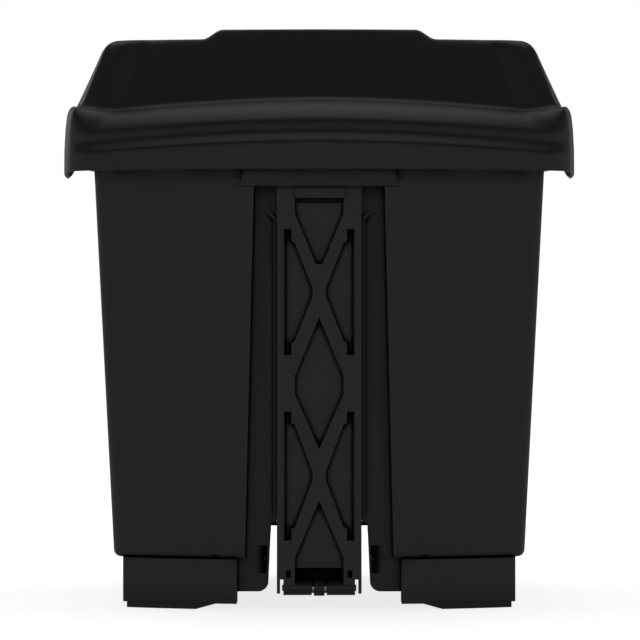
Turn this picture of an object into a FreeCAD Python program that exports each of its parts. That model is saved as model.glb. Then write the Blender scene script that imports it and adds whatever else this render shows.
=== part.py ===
import FreeCAD, Part
import os
from math import cos, radians, sin, sqrt, tan
from types import SimpleNamespace as Outline

# A step-on waste container: a tapered tub on a low plinth, a domed lid hinged at the back,
# and a foot pedal whose lever lifts a ribbed strut in a channel down the back wall.
# Millimetres. The origin is on the floor under the middle of the object, +Z is up, the
# pedal is at -Y and the hinge and the strut are at +Y.

# Overall
HALF_WIDTH = 200.0
HALF_DEPTH = 200.0
HEIGHT = 440.0
WALL = 3.0
CLEAR = 0.3

# Tub
RIM_Z = 346.0
TUB_BOTTOM_Z = 38.0
LEDGE = 3.0
FLOOR_UNDER_Z = 74.0
FLOOR_TOP_Z = FLOOR_UNDER_Z + WALL
RIM_FLANGE = 5.0
RIM_FLANGE_DEPTH = 6.0
REAR_WALL_RADIUS = 370.0
REAR_CORNER_R = 11.0
FRONT_CORNER_R = 45.0
TUB_EDGE_R = 5.5

# Channel down the back wall, and the strut's tunnel under it
CHANNEL_FACE_Y = 142.0
CHANNEL_TOP_HALF = 48.5
CHANNEL_LOW_HALF = 56.0
PLINTH_CHANNEL_HALF = 62.0
CHANNEL_SILL_Z = 12.0
TUNNEL_TOP_Z = 66.0
TUNNEL_TOP_HALF = 36.4
TUNNEL_LOW_HALF = 39.4
ARCH_CORNER_R = 5.0
LEAD_IN_R = 9.5
LEAD_IN_CENTRE_X = 48.6
LEAD_IN_LOW_Z = 26.0
LEAD_IN_TOP_Z = 47.0
SILL_CORNER_R = 8.0
SNAP_X = 79.0
SNAP_HALF = 3.0
SEAT_MARK_DEPTH = 4.5
SEAT_MARK_Z = (324.5, 331.0)
GUIDE_X = 32.5
GUIDE_THICK = 2.0
GUIDE_LOW_Z = 70.0
GUIDE_FLARE_Z = 296.0
GUIDE_DEPTH = 17.0

# Plinth and feet
PLINTH_BOTTOM_Z = 4.4
PLINTH_HALF = 149.0
PLINTH_TOP_Z = 60.0
PLINTH_WALL = 2.8
PLINTH_FLANGE = 14.0
CROSS_TIE_Y = (-50.0, 50.0)
PEDAL_GAP_HALF = 75.0
PEDAL_GAP_TOP_Z = 71.0
FOOT_INNER_X = 93.0
FOOT_OUTER_X = 146.0
FOOT_LENGTH = 26.0
FOOT_RUNOUT = 15.0

# Hinge
HINGE_Y = 184.4
HINGE_Z = 336.0
BARREL_R = 6.0
HINGE_PIN_R = 2.5
RUNNING = 0.06
BRIDGE_HALF = 60.0
BRIDGE_LOW_Z = 318.3
BRIDGE_BACK_Y = 168.2
EAR_X = (35.0, 53.0)
INNER_KNUCKLE_X = (26.0, 34.4)
OUTER_KNUCKLE_X = (53.6, 62.0)

# Lid
SKIRT_Z = 330.0
BAND_TOP_Z = 381.0
BAND_TAPER = 2.0
ROLL_R = 11.0
DOME_FOOT_Z = 376.0
DOME_FOOT_INSET = 17.0
DOME_SLOPE = 25.0
CROWN_Z = 431.0
CROWN_R = 13.0
SPINE_FOOT_HALF = 84.7
SPINE_TOP_HALF = 73.5
SPINE_END_R = 10.0
LID_REAR_RADIUS = 505.0
LID_REAR_CORNER_X = 188.0
LID_WIDEST_Y = 20.0
LID_FRONT_CORNER_Y = -160.0
LID_REAR_CORNER_R = 30.0
LID_FRONT_CORNER_R = 60.0
BUMPER_SPOTS = ((175.5, 70.0), (175.0, -70.0))
BUMPER_THICK = 3.0
POST_R = 4.0

# Lift linkage
LIFT_PIN_Y = 159.0
LIFT_PIN_Z = 316.5
LIFT_PIN_R = 3.0
LIFT_PIN_HALF = 24.0
LUG_HALF = 10.0
LUG_EYE_R = 6.0
LUG_STEM_Y = (154.0, 164.0)
LUG_STEM_TOP_Z = 350.0
LUG_HEAD_Y = (144.0, 174.0)
LUG_HEAD_Z = (357.0, 388.0)
LUG_SCREW_Z = 376.0
LUG_SCREW_Y = (150.0, 168.0)
LUG_RIB_X = (10.2, 13.2)
LUG_RIB_Y = (138.0, 180.0)
LUG_RIB_LOW_Z = 355.0
STRUT_HALF = 31.9
STRUT_LOW_Y = 154.0
STRUT_BACK_Y = 164.0
STRUT_WEB = 3.0
STRUT_FLOOR_TOP_Z = 306.0
STRUT_FLOOR_LOW_Z = 31.0
STRUT_BODY_LOW_Z = 22.6
STRUT_RAIL_LOW_Z = 12.0
STRUT_TOP_Z = 324.0
CHEEK_X = (18.6, 25.0)
CHEEK_LOW_Y = 146.0
CHEEK_LOW_Z = 292.0
PIN_SLOT_Y = (147.7, 162.3)
PIN_SLOT_HEIGHT = 7.6
FOOT_PIN_Y = 159.0
FOOT_PIN_Z = 16.0
FOOT_PIN_R = 2.5
STRUT_PIN_HALF = 28.0
KNUCKLE_R = 5.5
KNUCKLE_X = (5.6, 27.0)
BRIDGE_TONGUE_Z = 309.5

# Pedal
PIVOT_Y = 9.0
PIVOT_Z = 36.0
AXLE_R = 4.0
BEAM_DEEP = 10.0
RIB_DEEP = 6.0
WING_HALF = 40.0
AXLE_HALF = 32.6
BRACKET_CHEEK_X = (26.0, 30.0)
PIVOT_BOSS_R = 9.0
PIVOT_BOSS_HALF = 25.4
BEAM_HALF = 7.0
EYE_HALF = 4.0
PEDAL_HALF = 65.0
PEDAL_FRONT_Y = -196.0
PEDAL_BACK_Y = -150.0
PEDAL_UNDER_Z = 56.0
PEDAL_PLATE = 4.0
TREAD_THICK = 5.0
TREAD_MARGIN = 4.0
GROOVE_PITCH = 6.0
BUFFER_Y = (-100.0, -80.0)
BUFFER_HALF = 6.0
BRACKET_PLATE = 4.0


def box(x0, x1, y0, y1, z0, z1):
    return Part.makeBox(x1 - x0, y1 - y0, z1 - z0, FreeCAD.Vector(x0, y0, z0))


def mirror_pair(shape):
    return [shape, shape.mirror(FreeCAD.Vector(0, 0, 0), FreeCAD.Vector(1, 0, 0))]


def rod_x(x0, x1, y, z, r):
    return Part.makeCylinder(r, x1 - x0, FreeCAD.Vector(x0, y, z), FreeCAD.Vector(1, 0, 0))


def rod_y(x, y0, y1, z, r):
    return Part.makeCylinder(r, y1 - y0, FreeCAD.Vector(x, y0, z), FreeCAD.Vector(0, 1, 0))


def rod_z(x, y, z0, z1, r):
    return Part.makeCylinder(r, z1 - z0, FreeCAD.Vector(x, y, z0), FreeCAD.Vector(0, 0, 1))


def plate_yz(points, x0, x1):
    """A flat plate whose outline is given as (y, z) points, from x0 to x1."""
    corners = [FreeCAD.Vector(x0, y, z) for y, z in points]
    face = Part.Face(Part.makePolygon(corners + corners[:1]))
    return face.extrude(FreeCAD.Vector(x1 - x0, 0, 0))


def plate_xz(points, y0, y1):
    """A flat plate whose outline is given as (x, z) points, from y0 to y1."""
    corners = [FreeCAD.Vector(x, y0, z) for x, z in points]
    face = Part.Face(Part.makePolygon(corners + corners[:1]))
    return face.extrude(FreeCAD.Vector(0, y1 - y0, 0))


def fuse(shapes):
    return shapes[0].multiFuse(shapes[1:]).removeSplitter()


def sagitta(radius, half_chord):
    return radius - sqrt(radius * radius - half_chord * half_chord)


def inset(o, d):
    """The same plan outline, smaller all round by d."""
    return Outline(side=o.side - d, side_y=o.side_y, rear_x=o.rear_x - d, rear_y=o.rear_y - d,
                   rear=o.rear - d, front_x=o.front_x - d, front_y=o.front_y + d, front=o.front + d)


def plan_wire(o, z):
    """A closed plan outline of four bowed sides."""
    side, rear, front = (o.side, o.side_y), (0.0, o.rear), (0.0, o.front)
    rear_corner, front_corner = (o.rear_x, o.rear_y), (o.front_x, o.front_y)

    def flip(p):
        return (-p[0], p[1])

    def arc(a, b, c):
        return Part.Arc(*[FreeCAD.Vector(p[0], p[1], z) for p in (a, b, c)]).toShape()

    return Part.Wire([arc(front_corner, side, rear_corner),
                      arc(rear_corner, rear, flip(rear_corner)),
                      arc(flip(rear_corner), flip(side), flip(front_corner)),
                      arc(flip(front_corner), front, front_corner)])


def tapered_block(low, high, z0, z1, rear_r, front_r):
    """A solid between two plan outlines, with its four upright corners rounded."""
    block = Part.makeLoft([plan_wire(low, z0), plan_wire(high, z1)], True, True)
    for sign, radius in ((1, rear_r), (-1, front_r)):
        corners = []
        for edge in block.Edges:
            upright = abs(edge.Vertexes[0].Z - edge.Vertexes[-1].Z) > 1.0
            if upright and sign * edge.Vertexes[0].Y > 0:
                corners.append(edge)
        block = block.makeFillet(radius, corners)
    return block


def round_level(shape, z, radius):
    """Round every edge that lies at height z."""
    level = [e for e in shape.Edges if all(abs(v.Z - z) < 0.01 for v in e.Vertexes)]
    return shape.makeFillet(radius, level)


# Plan outlines of the tub at its rim and at its bottom, of the plinth, and of the lid's skirt
TUB_RIM = Outline(side=176.0, side_y=0.0, rear_x=171.5, rear_y=176.0 - sagitta(REAR_WALL_RADIUS, 171.5),
                  rear=176.0, front_x=166.0, front_y=-135.0, front=-170.0)
TUB_LOW = Outline(side=159.2, side_y=0.0, rear_x=155.7, rear_y=172.0 - sagitta(REAR_WALL_RADIUS, 155.7),
                  rear=172.0, front_x=151.0, front_y=-125.0, front=-152.0)
PLINTH = Outline(side=PLINTH_HALF + 0.01, side_y=0.0, rear_x=PLINTH_HALF,
                 rear_y=171.5 - sagitta(REAR_WALL_RADIUS, PLINTH_HALF), rear=171.5,
                 front_x=PLINTH_HALF - 4.0, front_y=-118.0, front=-145.0)
LID_REAR_CORNER_Y = HALF_DEPTH - sagitta(LID_REAR_RADIUS, LID_REAR_CORNER_X)
LID_SIDE_DROP = HALF_WIDTH - LID_REAR_CORNER_X
LID_SIDE_RADIUS = ((LID_REAR_CORNER_Y - LID_WIDEST_Y) ** 2 + LID_SIDE_DROP ** 2) / (2 * LID_SIDE_DROP)
LID_PLAN = Outline(side=HALF_WIDTH, side_y=LID_WIDEST_Y, rear_x=LID_REAR_CORNER_X,
                   rear_y=LID_REAR_CORNER_Y, rear=HALF_DEPTH,
                   front_x=HALF_WIDTH - sagitta(LID_SIDE_RADIUS, LID_WIDEST_Y - LID_FRONT_CORNER_Y),
                   front_y=LID_FRONT_CORNER_Y, front=-HALF_DEPTH)


def tub_block(d, bottom_z=TUB_BOTTOM_Z):
    """The tub's tapered outer form, smaller by d all round."""
    return tapered_block(inset(TUB_LOW, d), inset(TUB_RIM, d), bottom_z, RIM_Z,
                         max(REAR_CORNER_R - d, 4.0), FRONT_CORNER_R - d)


def channel_block(grow):
    """The space of the back channel: a trapezoid in the back view, grown by a wall."""
    slope = (CHANNEL_LOW_HALF - CHANNEL_TOP_HALF) / (RIM_Z - TUB_BOTTOM_Z)
    low_z, top_z = TUB_BOTTOM_Z - 1.0, RIM_Z + 1.0
    low = CHANNEL_LOW_HALF + slope + grow
    top = CHANNEL_TOP_HALF - slope + grow
    outline = [(-low, low_z), (low, low_z), (top, top_z), (-top, top_z)]
    return plate_xz(outline, CHANNEL_FACE_Y - grow, HALF_DEPTH + 10.0)


def arch(low_half, top_half, top_z, y0, y1):
    """A low opening with a flat roof and rounded upper corners, cut along Y."""
    block = plate_xz([(-low_half, 0.0), (low_half, 0.0), (top_half, top_z), (-top_half, top_z)], y0, y1)
    tops = [e for e in block.Edges if all(abs(v.Z - top_z) < 0.01 for v in e.Vertexes)
            and abs(e.Vertexes[0].Y - e.Vertexes[-1].Y) > 1.0]
    return block.makeFillet(ARCH_CORNER_R, tops)


def tunnel(y0, y1):
    """The opening at the back that the pedal lever reaches through."""
    return arch(TUNNEL_LOW_HALF, TUNNEL_TOP_HALF, TUNNEL_TOP_Z, y0, y1)


def pedal_gap():
    """The opening at the front that the pedal swings in."""
    return arch(PEDAL_GAP_HALF, PEDAL_GAP_HALF, PEDAL_GAP_TOP_Z, -HALF_DEPTH, -108.0)


def lead_in_space(z0, z1):
    """The stretch of the channel's face beside the tunnel that turns inwards."""
    return box(LEAD_IN_CENTRE_X - LEAD_IN_R, LEAD_IN_CENTRE_X, CHANNEL_FACE_Y - WALL - 0.1,
               CHANNEL_FACE_Y + 0.1, z0, z1)


def lead_in(z0, z1):
    """A quarter-round that leads from the channel's face into the tunnel."""
    centre_y = CHANNEL_FACE_Y - LEAD_IN_R
    tube = rod_z(LEAD_IN_CENTRE_X, centre_y, z0, z1, LEAD_IN_R)
    tube = tube.cut(rod_z(LEAD_IN_CENTRE_X, centre_y, z0 - 1.0, z1 + 1.0, LEAD_IN_R - WALL))
    return tube.common(box(LEAD_IN_CENTRE_X - LEAD_IN_R, LEAD_IN_CENTRE_X, centre_y,
                           CHANNEL_FACE_Y, z0, z1))


# Screw places shared by the pieces that they join
PLINTH_SCREW_SPOTS = ((118.0, 98.0), (118.0, -92.0))
BRACKET_SCREW_SPOTS = ((36.5, PIVOT_Y + 12.0), (36.5, PIVOT_Y - 12.0))
BRIDGE_SCREW_SPOTS = ((56.0, 338.0),)
SCREW_R = 1.6
SCREW_CLEAR_R = 2.1
HEAD_R = 3.4
HEAD_THICK = 2.2


def pan_head(shape_head):
    """Break the outer edges of a screw head."""
    return shape_head.makeFillet(0.7, [e for e in shape_head.Edges if e.Curve.TypeId == "Part::GeomCircle"])


def container():
    """The tub: outer form less its cavity, the hollow under its floor and the back channel."""
    outer = round_level(tub_block(0.0), TUB_BOTTOM_Z, TUB_EDGE_R)
    flange_low = tub_block(-RIM_FLANGE)
    flange = flange_low.common(box(-HALF_WIDTH, HALF_WIDTH, -HALF_DEPTH, HALF_DEPTH,
                                   RIM_Z - RIM_FLANGE_DEPTH, RIM_Z))
    flange = flange.cut(box(-BRIDGE_HALF - 6.0, BRIDGE_HALF + 6.0, 100.0, HALF_DEPTH, 0.0, RIM_Z + 1.0))
    outer = outer.fuse(flange)
    seat = box(-BRIDGE_HALF - 0.2, BRIDGE_HALF + 0.2, BRIDGE_BACK_Y - 0.2, HALF_DEPTH,
               BRIDGE_LOW_Z - CLEAR, RIM_Z + 1.0)
    seat_wall = box(-BRIDGE_HALF - WALL, BRIDGE_HALF + WALL, BRIDGE_BACK_Y - WALL - 0.2, HALF_DEPTH,
                    BRIDGE_LOW_Z - WALL, RIM_Z + 1.0)
    inner = tub_block(WALL)
    walled_channel = channel_block(WALL)
    high = box(-HALF_WIDTH, HALF_WIDTH, -HALF_DEPTH, HALF_DEPTH, FLOOR_TOP_Z, RIM_Z + 1.0)
    low = box(-HALF_WIDTH, HALF_WIDTH, -HALF_DEPTH, HALF_DEPTH, TUB_BOTTOM_Z + LEDGE, FLOOR_UNDER_Z)
    cavity = inner.common(high).cut(walled_channel).cut(seat_wall)
    hollow = inner.common(low).cut(walled_channel)
    collar_plan = inset(PLINTH, -CLEAR)
    collar = tapered_block(collar_plan, collar_plan, TUB_BOTTOM_Z - 1.0, TUB_BOTTOM_Z + LEDGE + 1.0, 3.0,
                           FRONT_CORNER_R)
    collar = collar.common(tub_block(WALL).fuse(box(-HALF_WIDTH, HALF_WIDTH, -HALF_DEPTH, HALF_DEPTH,
                                                    TUB_BOTTOM_Z - 2.0, TUB_BOTTOM_Z)))
    collar = collar.cut(walled_channel)
    body = outer.cut(channel_block(0.0)).cut(seat).cut(cavity).cut(hollow).cut(collar)
    body = body.cut(tunnel(CHANNEL_FACE_Y - 8.0, CHANNEL_FACE_Y + 4.0))
    body = body.cut(pedal_gap())
    seat_mark = box(BRIDGE_HALF, BRIDGE_HALF + SEAT_MARK_DEPTH, BRIDGE_BACK_Y + 1.4, HALF_DEPTH,
                    SEAT_MARK_Z[0], SEAT_MARK_Z[1])
    snap_notch = box(SNAP_X - SNAP_HALF, SNAP_X + SNAP_HALF, CHANNEL_FACE_Y + 8.0, HALF_DEPTH,
                     TUB_BOTTOM_Z - 1.0, TUB_BOTTOM_Z + LEDGE)
    for cutter in (seat_mark, snap_notch, lead_in_space(TUB_BOTTOM_Z, LEAD_IN_TOP_Z)):
        body = body.cut(Part.makeCompound(mirror_pair(cutter)))
    extras = mirror_pair(lead_in(TUB_BOTTOM_Z, LEAD_IN_TOP_Z))
    rib = box(GUIDE_X, GUIDE_X + GUIDE_THICK, CHANNEL_FACE_Y - 1.0, CHANNEL_FACE_Y + GUIDE_DEPTH,
              GUIDE_LOW_Z, GUIDE_FLARE_Z)
    flare = plate_xz([(GUIDE_X, GUIDE_FLARE_Z - 2.0), (GUIDE_X + GUIDE_THICK, GUIDE_FLARE_Z - 2.0),
                      (GUIDE_X + 6.5, GUIDE_FLARE_Z + 2.5), (GUIDE_X + 5.2, GUIDE_FLARE_Z + 4.0),
                      (GUIDE_X, GUIDE_FLARE_Z - 1.0)], CHANNEL_FACE_Y - 1.0, CHANNEL_FACE_Y + GUIDE_DEPTH)
    extras += mirror_pair(rib) + mirror_pair(flare)
    for x, y in PLINTH_SCREW_SPOTS:
        extras += mirror_pair(rod_z(x, y, PLINTH_TOP_Z, FLOOR_UNDER_Z + 1.0, 6.0))
    for x, y in BRACKET_SCREW_SPOTS:
        extras += mirror_pair(rod_z(x, y, FLOOR_UNDER_Z + 0.5, FLOOR_TOP_Z + 5.0, 4.5))
    for x, z in BRIDGE_SCREW_SPOTS:
        extras += mirror_pair(rod_y(x, BRIDGE_BACK_Y - 12.0, BRIDGE_BACK_Y - 0.2, z, 4.2))
    body = body.multiFuse(extras)
    holes = []
    for x, y in PLINTH_SCREW_SPOTS:
        holes += mirror_pair(rod_z(x, y, PLINTH_TOP_Z - 1.0, FLOOR_UNDER_Z - 1.0, SCREW_R))
    for x, y in BRACKET_SCREW_SPOTS:
        holes += mirror_pair(rod_z(x, y, FLOOR_UNDER_Z - 1.0, FLOOR_TOP_Z + 3.0, SCREW_R))
    for x, z in BRIDGE_SCREW_SPOTS:
        holes += mirror_pair(rod_y(x, BRIDGE_BACK_Y - 10.0, BRIDGE_BACK_Y, z, SCREW_R))
    return body.cut(Part.makeCompound(holes)).removeSplitter()


def plinth_form(d, split_z):
    """The plinth's outer form, smaller by d: straight up to split_z, tucked inside the tub above."""
    plan = inset(PLINTH, d)
    corner_r = max(3.0 - d, 1.0)
    low = tapered_block(plan, plan, PLINTH_BOTTOM_Z, split_z, corner_r, FRONT_CORNER_R - d)
    neck = tapered_block(plan, plan, split_z, PLINTH_TOP_Z, corner_r, FRONT_CORNER_R - d)
    shape = low.fuse(neck.common(tub_block(WALL + CLEAR + d, split_z)))
    half = PLINTH_CHANNEL_HALF + d
    shape = shape.cut(box(-half, half, CHANNEL_FACE_Y - d, HALF_DEPTH, 0.0, PLINTH_TOP_Z + 1.0))
    return shape.cut(box(-half, half, CHANNEL_FACE_Y - WALL - CLEAR - d, HALF_DEPTH, split_z,
                         PLINTH_TOP_Z + 1.0))


def base_plinth():
    """The open ring that the tub stands on, with cross-ties and a flange screwed up into the tub."""
    shoulder_z = TUB_BOTTOM_Z - 0.2
    outer = plinth_form(0.0, shoulder_z)
    inner = plinth_form(PLINTH_WALL, shoulder_z - PLINTH_WALL)
    deck_z = PLINTH_TOP_Z - PLINTH_WALL
    under = box(-HALF_WIDTH, HALF_WIDTH, -HALF_DEPTH, HALF_DEPTH, 0.0, deck_z)
    ring = outer.cut(inner.common(under)).cut(plinth_form(PLINTH_FLANGE, shoulder_z - PLINTH_WALL))
    extras = []
    for x, y in PLINTH_SCREW_SPOTS:
        lug = box(x - 9.0, x + 30.0, y - 9.0, y + 9.0, deck_z, PLINTH_TOP_Z)
        extras += mirror_pair(lug.common(outer))
    for y in CROSS_TIE_Y:
        tie = box(-HALF_WIDTH, HALF_WIDTH, y - 10.0, y + 10.0, deck_z, PLINTH_TOP_Z)
        extras.append(tie.common(outer))
    ring = ring.multiFuse(extras)
    cuts = [tunnel(CHANNEL_FACE_Y - 26.0, CHANNEL_FACE_Y + 4.0), pedal_gap()]
    cuts.append(box(-PLINTH_CHANNEL_HALF, PLINTH_CHANNEL_HALF, CHANNEL_FACE_Y - 6.0, CHANNEL_FACE_Y + 1.0,
                    0.0, CHANNEL_SILL_Z))
    for x, y in PLINTH_SCREW_SPOTS:
        cuts += mirror_pair(rod_z(x, y, PLINTH_TOP_Z - 5.0, PLINTH_TOP_Z + 1.0, SCREW_CLEAR_R))
    corner_x = TUNNEL_LOW_HALF - 1.0
    corner = box(corner_x, corner_x + SILL_CORNER_R, CHANNEL_FACE_Y - 6.0, CHANNEL_FACE_Y + 1.0,
                 CHANNEL_SILL_Z - 1.0, CHANNEL_SILL_Z + SILL_CORNER_R)
    corner = corner.cut(rod_y(corner_x + SILL_CORNER_R, CHANNEL_FACE_Y - 7.0, CHANNEL_FACE_Y + 2.0,
                              CHANNEL_SILL_Z + SILL_CORNER_R, SILL_CORNER_R))
    cuts += mirror_pair(corner) + mirror_pair(lead_in_space(LEAD_IN_LOW_Z, shoulder_z))
    cuts.append(box(-LEAD_IN_CENTRE_X - 1.4, LEAD_IN_CENTRE_X + 1.4, CHANNEL_FACE_Y - LEAD_IN_R - 5.0,
                    HALF_DEPTH, shoulder_z, LEAD_IN_TOP_Z + CLEAR))
    for cutter in cuts:
        ring = ring.cut(cutter)
    return ring.multiFuse(mirror_pair(lead_in(LEAD_IN_LOW_Z, shoulder_z))).removeSplitter()


def foot(rear):
    """One rubber pad under a corner of the plinth, shaped to its outline."""
    plan = inset(PLINTH, 0.4)
    block = tapered_block(plan, plan, 0.0, PLINTH_BOTTOM_Z, 2.8, FRONT_CORNER_R)
    bar = plate_xz([(FOOT_INNER_X, 0.0), (FOOT_OUTER_X, 0.0), (FOOT_OUTER_X, PLINTH_BOTTOM_Z),
                    (FOOT_INNER_X - FOOT_RUNOUT, PLINTH_BOTTOM_Z)], -HALF_DEPTH, HALF_DEPTH)
    inner = tapered_block(inset(PLINTH, FOOT_LENGTH), inset(PLINTH, FOOT_LENGTH), -1.0,
                          PLINTH_BOTTOM_Z + 1.0, 4.0, FRONT_CORNER_R - 20.0)
    side = 1 if rear else -1
    half = box(0.0, HALF_WIDTH, min(0.0, side * HALF_DEPTH), max(0.0, side * HALF_DEPTH), -1.0,
               PLINTH_BOTTOM_Z + 1.0)
    near = box(0.0, HALF_WIDTH, min(side * 70.0, side * HALF_DEPTH), max(side * 70.0, side * HALF_DEPTH),
               -1.0, PLINTH_BOTTOM_Z + 1.0)
    return block.common(bar).common(half).common(near).cut(inner)


def hinge_bridge():
    """The plate that closes the top of the channel and carries the hinge, with a tongue over the clevis."""
    plate = box(-BRIDGE_HALF, BRIDGE_HALF, BRIDGE_BACK_Y, HALF_DEPTH, BRIDGE_LOW_Z, RIM_Z - CLEAR)
    tongue = box(-POCKET_X, POCKET_X, BRIDGE_BACK_Y, BRIDGE_BACK_Y + 2.5, BRIDGE_TONGUE_Z, BRIDGE_LOW_Z + 1.0)
    parts = [plate.common(tub_block(0.0)), tongue]
    ear_z = (HINGE_Z - BARREL_R, HINGE_Z + BARREL_R)
    ear = box(EAR_X[0], EAR_X[1], BRIDGE_BACK_Y + 2.0, HINGE_Y, ear_z[0], ear_z[1])
    barrel = rod_x(EAR_X[0], EAR_X[1], HINGE_Y, HINGE_Z, BARREL_R)
    parts += mirror_pair(ear.fuse(barrel))
    cuts = mirror_pair(rod_x(EAR_X[0] - 1.0, EAR_X[1] + 1.0, HINGE_Y, HINGE_Z, HINGE_PIN_R))
    for x, z in BRIDGE_SCREW_SPOTS:
        cuts += mirror_pair(rod_y(x, BRIDGE_BACK_Y - 1.0, HALF_DEPTH, z, SCREW_R))
    return fuse(parts).cut(Part.makeCompound(cuts))


def bridge_screws():
    """Two short screws that hold the bridge in its seat, hidden behind the skirt."""
    screws = []
    for x, z in BRIDGE_SCREW_SPOTS:
        screws += mirror_pair(rod_y(x, BRIDGE_BACK_Y - 9.0, BRIDGE_BACK_Y + 2.4, z, SCREW_R))
    return Part.makeCompound(screws)


def hinge_pin():
    """One steel hinge pin, through an ear of the bridge and the lid's knuckles beside it."""
    pin = rod_x(INNER_KNUCKLE_X[0] - 0.5, OUTER_KNUCKLE_X[1] + 0.8, HINGE_Y, HINGE_Z, HINGE_PIN_R)
    return pin.makeChamfer(0.5, [e for e in pin.Edges if e.Curve.TypeId == "Part::GeomCircle"])


def dome_form(d):
    """The lid above its band, smaller by d: sloping walls, a flat crown and a raised spine."""
    slope = tan(radians(DOME_SLOPE))
    foot_z = DOME_FOOT_Z - 6.0 - d
    top_z = HEIGHT - d
    crown_z = CROWN_Z - d
    foot_plan = inset(LID_PLAN, DOME_FOOT_INSET + (foot_z - DOME_FOOT_Z) * slope + d)
    top_plan = inset(LID_PLAN, DOME_FOOT_INSET + (top_z - DOME_FOOT_Z) * slope + d)
    walls = tapered_block(foot_plan, top_plan, foot_z, top_z, LID_REAR_CORNER_R - 8.0, 45.0)
    below_crown = box(-HALF_WIDTH, HALF_WIDTH, -HALF_DEPTH, HALF_DEPTH, foot_z - 1.0, crown_z)
    crown = round_level(walls.common(below_crown), crown_z, CROWN_R - d)
    spine_outline = [(-SPINE_FOOT_HALF + d, foot_z + 1.0), (SPINE_FOOT_HALF - d, foot_z + 1.0),
                     (SPINE_FOOT_HALF - d, CROWN_Z - 4.0), (SPINE_TOP_HALF - d, top_z + 1.0),
                     (-SPINE_TOP_HALF + d, top_z + 1.0), (-SPINE_FOOT_HALF + d, CROWN_Z - 4.0)]
    spine = round_level(walls, top_z, SPINE_END_R - d)
    return crown.fuse(spine.common(plate_xz(spine_outline, -HALF_DEPTH, HALF_DEPTH)))


def lid_form(d):
    """The whole outer form of the lid, smaller by d."""
    band = tapered_block(inset(LID_PLAN, d), inset(LID_PLAN, d + BAND_TAPER), SKIRT_Z - d,
                         BAND_TOP_Z - d, LID_REAR_CORNER_R, LID_FRONT_CORNER_R)
    band = round_level(band, BAND_TOP_Z - d, ROLL_R - d)
    return band.fuse(dome_form(d))


def lid_shell():
    """The hollow lid with its hinge knuckles, the two ribs that hold the lift lug, and four posts."""
    outer = lid_form(0.0)
    shell = outer.cut(lid_form(WALL))
    extras = []
    for x0, x1 in (INNER_KNUCKLE_X, OUTER_KNUCKLE_X):
        arm = box(x0, x1, HINGE_Y - BARREL_R, HINGE_Y + BARREL_R, HINGE_Z, BAND_TOP_Z + 20.0)
        knuckle = arm.common(outer).fuse(rod_x(x0, x1, HINGE_Y, HINGE_Z, BARREL_R))
        extras += mirror_pair(knuckle)
    rib = box(LUG_RIB_X[0], LUG_RIB_X[1], LUG_RIB_Y[0], LUG_RIB_Y[1], LUG_RIB_LOW_Z, HEIGHT)
    extras += mirror_pair(rib.common(outer))
    for x, y in BUMPER_SPOTS:
        extras += mirror_pair(rod_z(x, y, RIM_Z + BUMPER_THICK, HEIGHT, POST_R).common(outer))
    shell = shell.multiFuse(extras)
    holes = mirror_pair(rod_x(INNER_KNUCKLE_X[0] - 1.0, OUTER_KNUCKLE_X[1] + 1.0, HINGE_Y, HINGE_Z,
                              HINGE_PIN_R + RUNNING))
    holes += [rod_x(-LUG_HALF - 4.0, LUG_HALF + 4.0, y, LUG_SCREW_Z, SCREW_R) for y in LUG_SCREW_Y]
    return shell.cut(Part.makeCompound(holes)).removeSplitter()


def lift_lug():
    """The arm that hangs from the lid and carries the lift pin."""
    (stem_y0, stem_y1), (head_y0, head_y1), (head_z0, head_z1) = LUG_STEM_Y, LUG_HEAD_Y, LUG_HEAD_Z
    stem = plate_yz([(stem_y0, LIFT_PIN_Z), (stem_y1, LIFT_PIN_Z), (stem_y1, LUG_STEM_TOP_Z),
                     (head_y1, head_z0), (head_y1, head_z1), (head_y0, head_z1), (head_y0, head_z0),
                     (stem_y0, LUG_STEM_TOP_Z)], -LUG_HALF, LUG_HALF)
    lug = stem.fuse(rod_x(-LUG_HALF, LUG_HALF, LIFT_PIN_Y, LIFT_PIN_Z, LUG_EYE_R))
    cuts = [rod_x(-LUG_HALF - 1.0, LUG_HALF + 1.0, LIFT_PIN_Y, LIFT_PIN_Z, LIFT_PIN_R)]
    cuts += [rod_x(-LUG_HALF - 1.0, LUG_HALF + 1.0, y, LUG_SCREW_Z, SCREW_R) for y in LUG_SCREW_Y]
    return lug.cut(Part.makeCompound(cuts)).removeSplitter()


def lug_screws():
    """Two cross screws through the lid's ribs and the lug."""
    screws = []
    for y in LUG_SCREW_Y:
        shank = rod_x(-LUG_RIB_X[1], LUG_RIB_X[1], y, LUG_SCREW_Z, SCREW_R)
        head = pan_head(rod_x(LUG_RIB_X[1], LUG_RIB_X[1] + HEAD_THICK, y, LUG_SCREW_Z, HEAD_R))
        screws.append(shank.fuse(head))
    return Part.makeCompound(screws)


def lift_pin():
    pin = rod_x(-LIFT_PIN_HALF, LIFT_PIN_HALF, LIFT_PIN_Y, LIFT_PIN_Z, LIFT_PIN_R)
    return pin.makeChamfer(0.6, [e for e in pin.Edges if e.Curve.TypeId == "Part::GeomCircle"])


def lid_bumpers():
    """Soft caps on the lid's posts, which meet the rim when the lid closes."""
    caps = []
    for x, y in BUMPER_SPOTS:
        caps += mirror_pair(rod_z(x, y, RIM_Z + CLEAR, RIM_Z + BUMPER_THICK, POST_R))
    return Part.makeCompound(caps)


# The strut's pockets in the back view. Their walls have draft: each wall's foot stands in from
# its mouth by DRAFT, and by RAIL_DRAFT along the rails.
POCKET_X = 18.4
POCKET_NOTCH_X = 20.9
RAIL_X = 26.5
WAIST_X = 4.9
WAIST_HALF = 3.0
NOTCH_DEPTH = 9.0
DRAFT = 1.2
RAIL_DRAFT = 2.1


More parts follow.
